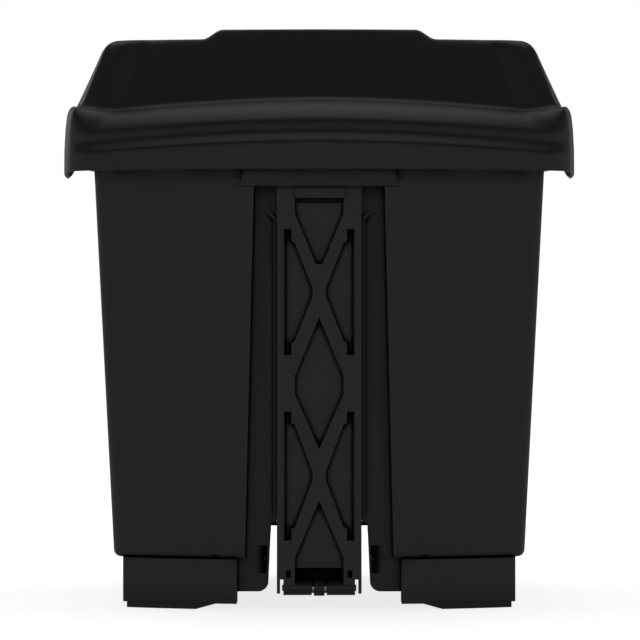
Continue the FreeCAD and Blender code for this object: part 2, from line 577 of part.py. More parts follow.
def moved_in(outline, gaps):
    """An anticlockwise outline with each edge moved in by its own gap."""
    edges = []
    for (x0, z0), (x1, z1), gap in zip(outline, outline[1:] + outline[:1], gaps):
        length = sqrt((x1 - x0) ** 2 + (z1 - z0) ** 2)
        ux, uz = (x1 - x0) / length, (z1 - z0) / length
        edges.append((x0 - uz * gap, z0 + ux * gap, ux, uz))
    corners = []
    for (ax, az, aux, auz), (bx, bz, bux, buz) in zip(edges[-1:] + edges[:-1], edges):
        cross = aux * buz - auz * bux
        along = ((bx - ax) * buz - (bz - az) * bux) / cross
        corners.append((ax + aux * along, az + auz * along))
    return corners


def pocket(outline, gaps):
    """A blind pocket in the strut's back face, narrower at its floor."""
    wires = []
    for y, points in ((STRUT_BACK_Y, outline), (STRUT_LOW_Y + STRUT_WEB, moved_in(outline, gaps))):
        corners = [FreeCAD.Vector(x, y, z) for x, z in points]
        wires.append(Part.makePolygon(corners + corners[:1]))
    return Part.makeLoft(wires, True, True)


def side_pocket(top, upper, waist, lower, bottom):
    """The pocket between a rail and two crossing diagonals, with a notch at each end."""
    outline = [(RAIL_X, bottom), (RAIL_X, top), (POCKET_NOTCH_X, top), (POCKET_NOTCH_X, top - NOTCH_DEPTH),
               (POCKET_X, upper), (WAIST_X, waist + WAIST_HALF), (WAIST_X, waist - WAIST_HALF),
               (POCKET_X, lower), (POCKET_NOTCH_X, bottom + NOTCH_DEPTH), (POCKET_NOTCH_X, bottom)]
    return pocket(outline, [RAIL_DRAFT] + [DRAFT] * (len(outline) - 1))


def strut_pockets():
    lip = 0.5
    top = pocket([(2.6, 260.0), (POCKET_X, 298.0), (POCKET_X, STRUT_FLOOR_TOP_Z + lip),
                  (-POCKET_X, STRUT_FLOOR_TOP_Z + lip), (-POCKET_X, 298.0), (-2.6, 260.0)],
                 [DRAFT, DRAFT, 0.0, DRAFT, DRAFT, DRAFT])
    centre = pocket([(0.0, 120.7), (POCKET_X, 162.0), (POCKET_X, 176.0), (0.0, 220.0),
                     (-POCKET_X, 176.0), (-POCKET_X, 162.0)], [DRAFT] * 6)
    bottom = pocket([(POCKET_X, STRUT_FLOOR_LOW_Z - lip), (POCKET_X, 39.0), (0.0, 82.0), (-POCKET_X, 39.0),
                     (-POCKET_X, STRUT_FLOOR_LOW_Z - lip)], [DRAFT, DRAFT, DRAFT, DRAFT, 0.0])
    sides = mirror_pair(side_pocket(286.5, 276.0, 239.0, 202.0, 191.5))
    sides += mirror_pair(side_pocket(149.0, 139.5, 100.5, 61.5, 52.0))
    return [top, centre, bottom] + sides


def lift_strut():
    """The ribbed strut: two rails, crossing diagonals, a clevis for the lift pin and a foot barrel."""
    body = box(-STRUT_HALF, STRUT_HALF, STRUT_LOW_Y, STRUT_BACK_Y, STRUT_BODY_LOW_Z, STRUT_TOP_Z)
    cuts = [box(-POCKET_X, POCKET_X, 140.0, HALF_DEPTH, STRUT_FLOOR_TOP_Z, HEIGHT),
            box(-POCKET_X, POCKET_X, 140.0, HALF_DEPTH, 0.0, STRUT_FLOOR_LOW_Z)]
    cuts += mirror_pair(box(21.3, 25.0, 140.0, HALF_DEPTH, STRUT_BODY_LOW_Z + 1.2, 29.5))
    for cutter in cuts + strut_pockets():
        body = body.cut(cutter)
    extras = mirror_pair(box(CHEEK_X[0], CHEEK_X[1], CHEEK_LOW_Y, STRUT_LOW_Y + 1.0, CHEEK_LOW_Z, STRUT_TOP_Z))
    rail = box(STRUT_HALF - 2.4, STRUT_HALF, STRUT_LOW_Y, STRUT_BACK_Y, STRUT_RAIL_LOW_Z, STRUT_BODY_LOW_Z + 1.0)
    extras += mirror_pair(rail)
    web = box(POCKET_X, KNUCKLE_X[1], STRUT_LOW_Y, STRUT_BACK_Y, FOOT_PIN_Z, STRUT_BODY_LOW_Z + 0.6)
    barrel = rod_x(KNUCKLE_X[0], KNUCKLE_X[1], FOOT_PIN_Y, FOOT_PIN_Z, KNUCKLE_R)
    extras += mirror_pair(web.fuse(barrel))
    body = body.multiFuse(extras)
    half_slot = PIN_SLOT_HEIGHT / 2
    slot = box(-LIFT_PIN_HALF - 0.4, LIFT_PIN_HALF + 0.4, PIN_SLOT_Y[0] + half_slot,
               PIN_SLOT_Y[1] - half_slot, LIFT_PIN_Z - half_slot, LIFT_PIN_Z + half_slot)
    ends = [rod_x(-LIFT_PIN_HALF - 0.4, LIFT_PIN_HALF + 0.4, y, LIFT_PIN_Z, half_slot)
            for y in (PIN_SLOT_Y[0] + half_slot, PIN_SLOT_Y[1] - half_slot)]
    bore = rod_x(-STRUT_HALF + 2.6, STRUT_HALF - 2.6, FOOT_PIN_Y, FOOT_PIN_Z, FOOT_PIN_R + RUNNING)
    for cutter in [slot] + ends + [bore]:
        body = body.cut(cutter)
    return body.removeSplitter()


def strut_pin():
    pin = rod_x(-STRUT_PIN_HALF, STRUT_PIN_HALF, FOOT_PIN_Y, FOOT_PIN_Z, FOOT_PIN_R)
    return pin.makeChamfer(0.5, [e for e in pin.Edges if e.Curve.TypeId == "Part::GeomCircle"])


def pedal_lever():
    """The first-class lever: a deep beam, an eye at the back, a pivot boss and the foot plate."""
    beam = plate_yz([(FOOT_PIN_Y - 14.0, FOOT_PIN_Z - 5.0), (FOOT_PIN_Y - 14.0, FOOT_PIN_Z + 7.0),
                     (PIVOT_Y, PIVOT_Z + BEAM_DEEP), (PEDAL_BACK_Y, PEDAL_UNDER_Z + PEDAL_PLATE),
                     (PEDAL_BACK_Y, PEDAL_UNDER_Z - RIB_DEEP), (PIVOT_Y, PIVOT_Z - BEAM_DEEP)],
                    -BEAM_HALF, BEAM_HALF)
    tongue = plate_yz([(FOOT_PIN_Y - 15.0, FOOT_PIN_Z - 5.0), (FOOT_PIN_Y, FOOT_PIN_Z - 6.0),
                       (FOOT_PIN_Y, FOOT_PIN_Z + 6.0), (FOOT_PIN_Y - 15.0, FOOT_PIN_Z + 7.0)],
                      -EYE_HALF, EYE_HALF)
    eye = rod_x(-EYE_HALF, EYE_HALF, FOOT_PIN_Y, FOOT_PIN_Z, 6.0)
    boss = rod_x(-PIVOT_BOSS_HALF, PIVOT_BOSS_HALF, PIVOT_Y, PIVOT_Z, PIVOT_BOSS_R)
    plate = box(-PEDAL_HALF, PEDAL_HALF, PEDAL_FRONT_Y, PEDAL_BACK_Y, PEDAL_UNDER_Z,
                PEDAL_UNDER_Z + PEDAL_PLATE)
    corners = [e for e in plate.Edges if abs(e.Vertexes[0].Z - e.Vertexes[-1].Z) > 1.0]
    plate = plate.makeFillet(12.0, corners)
    rib = plate_yz([(PEDAL_BACK_Y - 1.0, PEDAL_UNDER_Z - RIB_DEEP), (PEDAL_BACK_Y - 1.0, PEDAL_UNDER_Z + 1.0),
                    (PEDAL_FRONT_Y + 10.0, PEDAL_UNDER_Z + 1.0), (PEDAL_FRONT_Y + 14.0, PEDAL_UNDER_Z - 1.0)],
                   -BEAM_HALF, BEAM_HALF)
    join = box(-BEAM_HALF, BEAM_HALF, PEDAL_BACK_Y - 1.0, PEDAL_BACK_Y + 1.0, PEDAL_UNDER_Z - RIB_DEEP,
               PEDAL_UNDER_Z + PEDAL_PLATE)
    wing = box(BEAM_HALF - 1.0, WING_HALF, PEDAL_BACK_Y - 1.0, PEDAL_BACK_Y + 6.0, PEDAL_UNDER_Z,
               PEDAL_UNDER_Z + PEDAL_PLATE)
    shape = fuse([beam, tongue, eye, boss, plate, rib, join] + mirror_pair(wing))
    shape = shape.cut(rod_x(-AXLE_HALF, AXLE_HALF, PIVOT_Y, PIVOT_Z, AXLE_R + RUNNING))
    return shape.cut(rod_x(-STRUT_PIN_HALF, STRUT_PIN_HALF, FOOT_PIN_Y, FOOT_PIN_Z, FOOT_PIN_R))


def pedal_tread():
    """The ribbed rubber pad on the foot plate."""
    z0 = PEDAL_UNDER_Z + PEDAL_PLATE
    pad = box(-PEDAL_HALF + TREAD_MARGIN, PEDAL_HALF - TREAD_MARGIN, PEDAL_FRONT_Y + TREAD_MARGIN,
              PEDAL_BACK_Y - 2.0, z0, z0 + TREAD_THICK)
    corners = [e for e in pad.Edges if abs(e.Vertexes[0].Z - e.Vertexes[-1].Z) > 1.0]
    pad = pad.makeFillet(9.0, corners)
    grooves = [box(-PEDAL_HALF + 10.0, PEDAL_HALF - 10.0, y, y + 2.0, z0 + TREAD_THICK - 1.5,
                   z0 + TREAD_THICK + 1.0)
               for y in (PEDAL_FRONT_Y + 11.0 + GROOVE_PITCH * i for i in range(5))]
    return pad.cut(Part.makeCompound(grooves))


def pivot_bracket():
    """The stirrup under the tub's floor that carries the pedal's axle."""
    base = box(-42.0, 42.0, PIVOT_Y - 18.0, PIVOT_Y + 18.0, FLOOR_UNDER_Z - BRACKET_PLATE, FLOOR_UNDER_Z)
    cheek = plate_yz([(PIVOT_Y - 14.0, FLOOR_UNDER_Z - 3.0), (PIVOT_Y + 14.0, FLOOR_UNDER_Z - 3.0),
                      (PIVOT_Y + PIVOT_BOSS_R, PIVOT_Z), (PIVOT_Y - PIVOT_BOSS_R, PIVOT_Z)],
                     BRACKET_CHEEK_X[0], BRACKET_CHEEK_X[1])
    cheek = cheek.fuse(rod_x(BRACKET_CHEEK_X[0], BRACKET_CHEEK_X[1], PIVOT_Y, PIVOT_Z, PIVOT_BOSS_R))
    shape = fuse([base] + mirror_pair(cheek))
    cuts = [rod_x(-40.0, 40.0, PIVOT_Y, PIVOT_Z, AXLE_R)]
    for x, y in BRACKET_SCREW_SPOTS:
        cuts += mirror_pair(rod_z(x, y, FLOOR_UNDER_Z - 6.0, FLOOR_UNDER_Z + 1.0, SCREW_R))
    for cutter in cuts:
        shape = shape.cut(cutter)
    return shape


def screws_up(spots, seat_z, tip_z):
    """Pan-head screws driven upwards, with their heads below seat_z."""
    screws = []
    for x, y in spots:
        shank = rod_z(x, y, seat_z, tip_z, SCREW_R)
        head = pan_head(rod_z(x, y, seat_z - HEAD_THICK, seat_z, HEAD_R))
        screws += mirror_pair(shank.fuse(head))
    return Part.makeCompound(screws)


def pedal_axle():
    axle = rod_x(-AXLE_HALF, AXLE_HALF, PIVOT_Y, PIVOT_Z, AXLE_R)
    return axle.makeChamfer(0.8, [e for e in axle.Edges if e.Curve.TypeId == "Part::GeomCircle"])


def axle_clip():
    """A spring-steel ring on one end of the axle, open below."""
    ring = rod_x(BRACKET_CHEEK_X[1] + 0.2, BRACKET_CHEEK_X[1] + 1.2, PIVOT_Y, PIVOT_Z, 7.0)
    ring = ring.cut(rod_x(20.0, 40.0, PIVOT_Y, PIVOT_Z, AXLE_R))
    return ring.cut(box(20.0, 40.0, PIVOT_Y - 2.5, PIVOT_Y + 2.5, PIVOT_Z - 10.0, PIVOT_Z))


def pedal_buffer():
    """The soft block under the floor that the lever comes up against."""
    y0, y1 = BUFFER_Y
    top_slope = (PIVOT_Z + BEAM_DEEP - PEDAL_UNDER_Z - PEDAL_PLATE) / (PIVOT_Y - PEDAL_BACK_Y)

    def lever_top(y):
        return PIVOT_Z + BEAM_DEEP + (y - PIVOT_Y) * top_slope

    return plate_yz([(y0, lever_top(y0) + CLEAR), (y1, lever_top(y1) + CLEAR), (y1, FLOOR_UNDER_Z),
                     (y0, FLOOR_UNDER_Z)], -BUFFER_HALF, BUFFER_HALF)


def save(name, shape):
    shape.exportStep("parts/" + name + ".step")
    box_ = shape.BoundBox
    print(f"{name:18s} solids {len(shape.Solids)} valid {shape.isValid()} volume {shape.Volume / 1000:.1f} cm3 "
          f"x {box_.XMin:.1f}..{box_.XMax:.1f} y {box_.YMin:.1f}..{box_.YMax:.1f} z {box_.ZMin:.1f}..{box_.ZMax:.1f}")


def save_pair(name, shape):
    left, right = mirror_pair(shape)
    save(name + "_left", left)
    save(name + "_right", right)


os.makedirs("parts", exist_ok=True)
save("container", container())
save("base_plinth", base_plinth())
save("plinth_screws", screws_up(PLINTH_SCREW_SPOTS, PLINTH_TOP_Z - PLINTH_WALL, PLINTH_TOP_Z + 10.0))
save_pair("foot_front", foot(False))
save_pair("foot_rear", foot(True))
save("hinge_bridge", hinge_bridge())
save("bridge_screws", bridge_screws())
save_pair("hinge_pin", hinge_pin())
save("lid_shell", lid_shell())
save("lift_lug", lift_lug())
save("lug_screws", lug_screws())
save("lift_pin", lift_pin())
save("lid_bumpers", lid_bumpers())
save("lift_strut", lift_strut())
save("strut_pin", strut_pin())
save("pedal_lever", pedal_lever())
save("pedal_tread", pedal_tread())
save("pivot_bracket", pivot_bracket())
save("bracket_screws", screws_up(BRACKET_SCREW_SPOTS, FLOOR_UNDER_Z - BRACKET_PLATE, FLOOR_TOP_Z + 2.5))
save("pedal_axle", pedal_axle())
save_pair("axle_clip", axle_clip())
save("pedal_buffer", pedal_buffer())
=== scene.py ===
import math

import bmesh
import bpy
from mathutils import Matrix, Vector


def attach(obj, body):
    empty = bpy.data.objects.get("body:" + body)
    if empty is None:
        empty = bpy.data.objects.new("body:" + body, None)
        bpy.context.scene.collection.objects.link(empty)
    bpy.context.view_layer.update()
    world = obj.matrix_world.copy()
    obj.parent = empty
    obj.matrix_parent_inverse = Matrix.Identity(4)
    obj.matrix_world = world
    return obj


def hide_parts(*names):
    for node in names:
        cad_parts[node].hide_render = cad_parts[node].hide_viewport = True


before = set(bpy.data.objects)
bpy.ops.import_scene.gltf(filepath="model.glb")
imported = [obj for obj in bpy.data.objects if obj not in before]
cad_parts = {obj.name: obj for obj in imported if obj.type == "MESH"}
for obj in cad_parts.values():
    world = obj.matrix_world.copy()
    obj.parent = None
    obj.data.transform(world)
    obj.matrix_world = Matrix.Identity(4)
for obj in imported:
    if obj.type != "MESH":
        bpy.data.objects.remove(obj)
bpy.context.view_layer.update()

# ---------------------------------------------------------------------------------------------
# Feet: four pads of black rubber, pressed under the corners of the plinth.
# They turn a dull grey-black in random patches of dust.

MM = 0.001
WELD_GAP = 0.01 * MM
FRAME_EDGE_ANGLE = 35.0
FOOT_EDGE = 0.4 * MM


def shader_tree(name):
    """A new material, with its node tree and its shader."""
    material = bpy.data.materials.new(name)
    material.use_nodes = True
    tree = material.node_tree
    return material, tree, tree.nodes["Principled BSDF"]


def node(tree, kind, inputs=None, **settings):
    """A node with its settings, and values or links for its inputs."""
    made = tree.nodes.new(kind)
    for key, value in settings.items():
        setattr(made, key, value)
    for key, value in (inputs or {}).items():
        if isinstance(value, bpy.types.NodeSocket):
            tree.links.new(value, made.inputs[key])
        else:
            made.inputs[key].default_value = value
    return made


def object_space(tree):
    return node(tree, "ShaderNodeTexCoord").outputs["Object"]


def noise(tree, place, scale, detail=3.0, rough=0.55):
    inputs = {"Vector": place, "Scale": scale, "Detail": detail, "Roughness": rough}
    return node(tree, "ShaderNodeTexNoise", inputs).outputs["Fac"]


def span(tree, value, low, high, to_low=0.0, to_high=1.0):
    """Carry a value from one range to another, held at the ends."""
    inputs = {"Value": value, "From Min": low, "From Max": high, "To Min": to_low, "To Max": to_high}
    return node(tree, "ShaderNodeMapRange", inputs, clamp=True).outputs["Result"]


def blend_colours(tree, amount, first, second):
    """Mix two colours; the node has its factor, colour inputs and colour result at these numbers."""
    mixed = node(tree, "ShaderNodeMix", data_type="RGBA")
    for socket, value in ((0, amount), (6, first), (7, second)):
        if isinstance(value, bpy.types.NodeSocket):
            tree.links.new(value, mixed.inputs[socket])
        else:
            mixed.inputs[socket].default_value = value
    return mixed.outputs[2]


def relief(tree, height, depth, under=None):
    """Bumps of a height and a depth in metres, over a coarser layer where one is given."""
    inputs = {"Height": height, "Distance": depth, "Strength": 1.0}
    if under is not None:
        inputs["Normal"] = under
    return node(tree, "ShaderNodeBump", inputs).outputs["Normal"]


def grey(level, warm=0.0):
    return (level * (1.0 + warm), level, level * (1.0 - warm), 1.0)


def dress(piece, material):
    piece.data.materials.clear()
    piece.data.materials.append(material)


def break_edges(piece, radius, angle):
    """Round off the edges that turn by more than an angle in degrees."""
    bevel = piece.modifiers.new("edges", "BEVEL")
    bevel.width = radius
    bevel.segments = 2
    bevel.limit_method = "ANGLE"
    bevel.angle_limit = math.radians(angle)


def soften(name, material, radius):
    """Give a moulded or turned piece of the frame its broken edges and its finish."""
    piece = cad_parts[name]
    dress(piece, material)
    weld = piece.modifiers.new("weld", "WELD")
    weld.merge_threshold = WELD_GAP
    if radius:
        break_edges(piece, radius, FRAME_EDGE_ANGLE)


def rubber_finish():
    material, tree, shader = shader_tree("foot_rubber")
    place = object_space(tree)
    dust = span(tree, noise(tree, place, 60.0), 0.45, 0.75)
    clean_black, dusty_black = grey(0.014), grey(0.024, 0.03)
    tree.links.new(blend_colours(tree, dust, clean_black, dusty_black), shader.inputs["Base Color"])
    tree.links.new(span(tree, dust, 0.0, 1.0, 0.62, 0.78), shader.inputs["Roughness"])
    tree.links.new(relief(tree, noise(tree, place, 1500.0), 0.00008), shader.inputs["Normal"])
    return material


foot_rubber = rubber_finish()
for corner in ("front_left", "front_right", "rear_left", "rear_right"):
    soften("foot_" + corner, foot_rubber, FOOT_EDGE)

# ---------------------------------------------------------------------------------------------
# Plinth, tub and bridge: injection-moulded black polypropylene with a fine spark-eroded grain.
# The tub is screwed down on the plinth, and the bridge is screwed into a seat at the rim.

FINE_GRAIN, FINE_DEPTH = 1900.0, 0.04 * MM
COARSE_GRAIN, COARSE_DEPTH = 420.0, 0.03 * MM


def grained_plastic(name, level, roughness, grain=1.0, scuffs=0.5, shade_reach=0.0045):
    """Black polypropylene: fine grain, flow mottling, dull scuffs, and painted shade that turns inside
    corners nearly black and dull.
    """
    material, tree, shader = shader_tree(name)
    place = object_space(tree)
    mottle = span(tree, noise(tree, place, 9.0, 4.0), 0.3, 0.7)
    upright = {"Vector": place, "Scale": (30.0, 30.0, 7.0)}
    smear = node(tree, "ShaderNodeMapping", upright).outputs["Vector"]
    scuff = span(tree, noise(tree, smear, 3.0, 6.0, 0.65), 0.60, 0.78, 0.0, scuffs)
    body = blend_colours(tree, mottle, grey(level * 0.93), grey(level * 1.07))
    worn = blend_colours(tree, scuff, body, grey(level * 1.5, 0.02))
    # Painted shade: ambient occlusion over the given reach darkens the colour to near black in inside corners
    # and takes away their shine.
    near = node(tree, "ShaderNodeAmbientOcclusion", {"Distance": shade_reach}, samples=8)
    out_of_painted_shade = span(tree, near.outputs["AO"], 0.54, 0.82)
    colour = blend_colours(tree, out_of_painted_shade, grey(level * 0.15), worn)
    tree.links.new(span(tree, out_of_painted_shade, 0.0, 1.0, 0.02, 0.5), shader.inputs["Specular IOR Level"])
    tree.links.new(colour, shader.inputs["Base Color"])
    dull = span(tree, scuff, 0.0, 1.0, roughness - 0.02, roughness + 0.16)
    tree.links.new(dull, shader.inputs["Roughness"])
    under = relief(tree, noise(tree, place, COARSE_GRAIN, 2.0), COARSE_DEPTH * grain)
    fine = noise(tree, place, FINE_GRAIN, 2.0)
    tree.links.new(relief(tree, fine, FINE_DEPTH * grain, under), shader.inputs["Normal"])
    return material


tub_plastic = grained_plastic("tub_plastic", level=0.0115, roughness=0.44)
base_plastic = grained_plastic("base_plastic", level=0.0110, roughness=0.46, grain=1.1, scuffs=0.9)
soften("base_plinth", base_plastic, 0.5 * MM)
soften("container", tub_plastic, 0.8 * MM)
soften("hinge_bridge", tub_plastic, 0.6 * MM)

# ---------------------------------------------------------------------------------------------
# Screws, pins, axle, clips and bracket: zinc-plated steel.
# The plating is bright on turned pieces and a little cloudy on the pressed bracket.


def zinc_finish(name, roughness, cloud):
    material, tree, shader = shader_tree(name)
    shader.inputs["Metallic"].default_value = 1.0
    place = object_space(tree)
    patch = span(tree, noise(tree, place, 140.0, 3.0), 0.35, 0.7)
    clouded = blend_colours(tree, patch, grey(0.50), grey(0.50 + cloud, 0.02))
    tree.links.new(clouded, shader.inputs["Base Color"])
    tree.links.new(span(tree, patch, 0.0, 1.0, roughness, roughness + cloud), shader.inputs["Roughness"])
    tree.links.new(relief(tree, noise(tree, place, 2600.0), 0.00001), shader.inputs["Normal"])
    return material


turned_zinc = zinc_finish("turned_zinc", roughness=0.24, cloud=0.08)
pressed_zinc = zinc_finish("pressed_zinc", roughness=0.34, cloud=0.14)
for name in ("plinth_screws", "bridge_screws", "bracket_screws", "lug_screws",
             "hinge_pin_left", "hinge_pin_right", "lift_pin", "strut_pin",
             "pedal_axle", "axle_clip_left", "axle_clip_right"):
    soften(name, turned_zinc, 0.0)
soften("pivot_bracket", pressed_zinc, 0.4 * MM)

# ---------------------------------------------------------------------------------------------
# Pedal and buffer: a moulded lever with a ribbed rubber pad glued on its foot plate.
# The buffer is a soft block under the floor that silences the lever.

linkage_plastic = grained_plastic("linkage_plastic", level=0.0125, roughness=0.42, grain=0.7, scuffs=0.7)
soften("pedal_lever", linkage_plastic, 0.8 * MM)
soften("pedal_tread", foot_rubber, 0.5 * MM)
soften("pedal_buffer", foot_rubber, 0.5 * MM)

# ---------------------------------------------------------------------------------------------
# Strut: a ribbed moulding of the lever's plastic, upright in the tub's back channel.
# Its foot turns on a pin in the lever's eye, and it pushes the lid up by the lift pin.

soften("lift_strut", linkage_plastic, 0.4 * MM)

# ---------------------------------------------------------------------------------------------
# Lid: one black polypropylene moulding with a rolled rim, a soft step under the roll, sloping
# walls and a raised spine. Hinge arms, ribs for the lug and four posts are moulded inside it.
# Rubber bumpers on the posts' ends land on the tub's rim.

# Plan, in millimetres as all the lid's sizes: bowed ends and sides, joined by round corners
LID_HALF = 200.0
WIDEST_Y = 20.0
REAR_BOW_R = 505.0
SIDE_BOW_R = 876.0
FRONT_BOW_R = 431.0
REAR_CORNER_R, REAR_CORNER_LEAST_R = 30.0, 16.0
FRONT_CORNER_R, FRONT_CORNER_LEAST_R = 60.0, 34.0
END_STEPS = 90
SIDE_STEPS = 120

# Skirt: its edge is level at the back, and rises between two places along the sides to the front.
# The band's lowest row keeps clear of the edge, and each row above it by a step more.
LID_THICK = 2.6
SKIRT_Z = 330.0
SKIRT_LIFT = 11.5
SKIRT_RUN = (-52.0, 22.0)
BAND_CLEAR = 6.3
BAND_CLEAR_STEP = 0.35

# Band: its top edge arches along each end and side, highest at the crest and lower by the sag
END_CREST_Z, END_SAG, END_SAG_X = 383.5, 7.9, 176.0
SIDE_CREST_Z, SIDE_SAG, SIDE_SAG_Y = 385.7, 9.0, 165.0
SIDE_CREST_Y = 10.0

# Share of the ends' profile at a point, from how squarely it faces an end; the rest is the sides'
END_SHARE_POWER = 1.4
END_SHARE_FADE, END_FADE_X = 0.25, 180.0

# Walls, shoulder, spine and the low crown between them
WALL_SLOPE = math.tan(math.radians(24.8))
WALL_FOOT_Z = (END_CREST_Z, 384.0)
WALL_STEPS = 10
SHOULDER_Z = 420.0
SPINE_RISE = 7.4
SPINE_FULL_X = 73.5
SPINE_FOOT_X = 88.8
CROWN = 1.0
CROWN_RUN = 0.2

# Rows up the band: height over the skirt's edge, then how far in it stands at the ends and sides
SKIRT_ROWS = ((0.0, 1.0, 1.0), (0.15, 0.4, 0.4), (0.7, 0.1, 0.1), (1.6, 0.0, 0.0), (6.0, 0.0, 0.0))
# Rows at a depth under the band's arched top, with the same two columns
BAND_ROWS = ((36.2, 0.05, 0.08), (34.0, 0.2, 0.12), (33.0, 0.45, 0.16), (32.0, 0.95, 0.2),
             (31.0, 1.75, 0.24), (29.6, 2.95, 0.3), (28.0, 4.35, 0.36), (26.4, 5.65, 0.42),
             (25.2, 6.5, 0.48), (24.0, 7.05, 0.54), (22.4, 7.4, 0.62), (20.0, 7.75, 0.72),
             (17.8, 8.2, 0.88), (16.4, 8.8, 1.04), (15.0, 9.75, 1.2), (13.2, 11.3, 1.36),
             (11.0, 13.4, 1.55), (9.0, 15.5, 1.8), (7.0, 17.9, 2.1), (5.2, 20.4, 2.6),
             (3.6, 23.0, 3.2), (2.2, 25.8, 4.0), (1.1, 28.2, 5.0), (0.45, 29.7, 6.0),
             (0.3, 31.0, 7.0), (0.7, 33.0, 8.1), (0.9, 34.9, 9.0))
WALL_FOOT_INSETS = (35.5, 9.6)
# Rows over the shoulder: height over it, how far in at the ends and the sides, and the spine's share
SHOULDER_ROWS = ((0.0, 0.0, 0.0, 0.0), (2.4, 1.11, 1.0, 0.25), (4.6, 2.13, 2.1, 0.5),
                 (6.8, 3.15, 3.5, 0.75), (8.6, 3.99, 5.4, 0.9), (10.0, 4.64, 7.8, 0.97),
                 (11.1, 5.4, 10.8, 0.995), (11.45, 6.9, 14.5, 1.0))


def tangent_circle(first, second, radius, upward):
    """Centre of a circle that lies inside two others, each (x, y, radius), and touches both."""
    (ax, ay, ar), (bx, by, br) = first, second
    ar, br = ar - radius, br - radius
    gap = math.hypot(bx - ax, by - ay)
    along = (ar * ar - br * br + gap * gap) / (2.0 * gap)
    across = math.sqrt(ar * ar - along * along)
    ux, uy = (bx - ax) / gap, (by - ay) / gap
    options = [(ax + ux * along - uy * s, ay + uy * along + ux * s) for s in (across, -across)]
    options = [p for p in options if p[0] > 0.0 and (p[1] > 0.0) == upward]
    return options[0]


def arc_points(circle, start, end, steps=60):
    """Points along an arc of a circle, given as (x, y, radius), between two bearings."""
    x, y, radius = circle
    turns = [start + (end - start) * i / steps for i in range(steps + 1)]
    return [(x + radius * math.cos(t), y + radius * math.sin(t)) for t in turns]


def even_points(path, steps):
    """Points spaced evenly along a path."""
    lengths = [0.0]
    for (ax, ay), (bx, by) in zip(path, path[1:]):
        lengths.append(lengths[-1] + math.hypot(bx - ax, by - ay))
    points, k = [], 0
    for i in range(steps + 1):
        goal = lengths[-1] * i / steps
        while k < len(path) - 2 and lengths[k + 1] < goal:
            k += 1
        share = (goal - lengths[k]) / max(lengths[k + 1] - lengths[k], 1e-9)
        points.append((path[k][0] + (path[k + 1][0] - path[k][0]) * share,
                       path[k][1] + (path[k + 1][1] - path[k][1]) * share))
    return points


def bearing(centre, point):
    return math.atan2(point[1] - centre[1], point[0] - centre[0])


def lid_outline(inset):
    """The lid's plan at an inset, as a loop: rear end, side at +x, front end, side at -x."""
    rear = (0.0, LID_HALF - REAR_BOW_R, REAR_BOW_R - inset)
    side = (LID_HALF - SIDE_BOW_R, WIDEST_Y, SIDE_BOW_R - inset)
    front = (0.0, FRONT_BOW_R - LID_HALF, FRONT_BOW_R - inset)
    rear_r = max(REAR_CORNER_R - inset, REAR_CORNER_LEAST_R)
    front_r = max(FRONT_CORNER_R - inset, FRONT_CORNER_LEAST_R)
    rear_corner = (*tangent_circle(rear, side, rear_r, True), rear_r)
    front_corner = (*tangent_circle(side, front, front_r, False), front_r)

    rear_turn, side_high = bearing(rear, rear_corner), bearing(side, rear_corner)
    side_low, front_turn = bearing(side, front_corner), bearing(front, front_corner)
    rear_half = (rear_turn + side_high) / 2.0
    front_half = (side_low + front_turn) / 2.0
    rear_run = arc_points(rear, math.pi / 2.0, rear_turn) + arc_points(rear_corner, rear_turn, rear_half)
    side_run = (arc_points(rear_corner, rear_half, side_high)
                + arc_points(side, side_high, side_low)
                + arc_points(front_corner, side_low, front_half))
    front_run = (arc_points(front_corner, front_half, front_turn)
                 + arc_points(front, front_turn, -math.pi / 2.0))
    half = (even_points(rear_run, END_STEPS)[:-1] + even_points(side_run, SIDE_STEPS)[:-1]
            + even_points(front_run, END_STEPS))
    return half + [(-x, y) for x, y in half[-2:0:-1]]


def smooth_step(value, low, high):
    """0 below the low value and 1 above the high one, with an S-curve between them."""
    t = min(max((value - low) / (high - low), 0.0), 1.0)
    return t * t * (3.0 - 2.0 * t)


def spine_share(x):
    """How much of its rise the spine has at x."""
    return 1.0 - smooth_step(abs(x), SPINE_FULL_X, SPINE_FOOT_X)


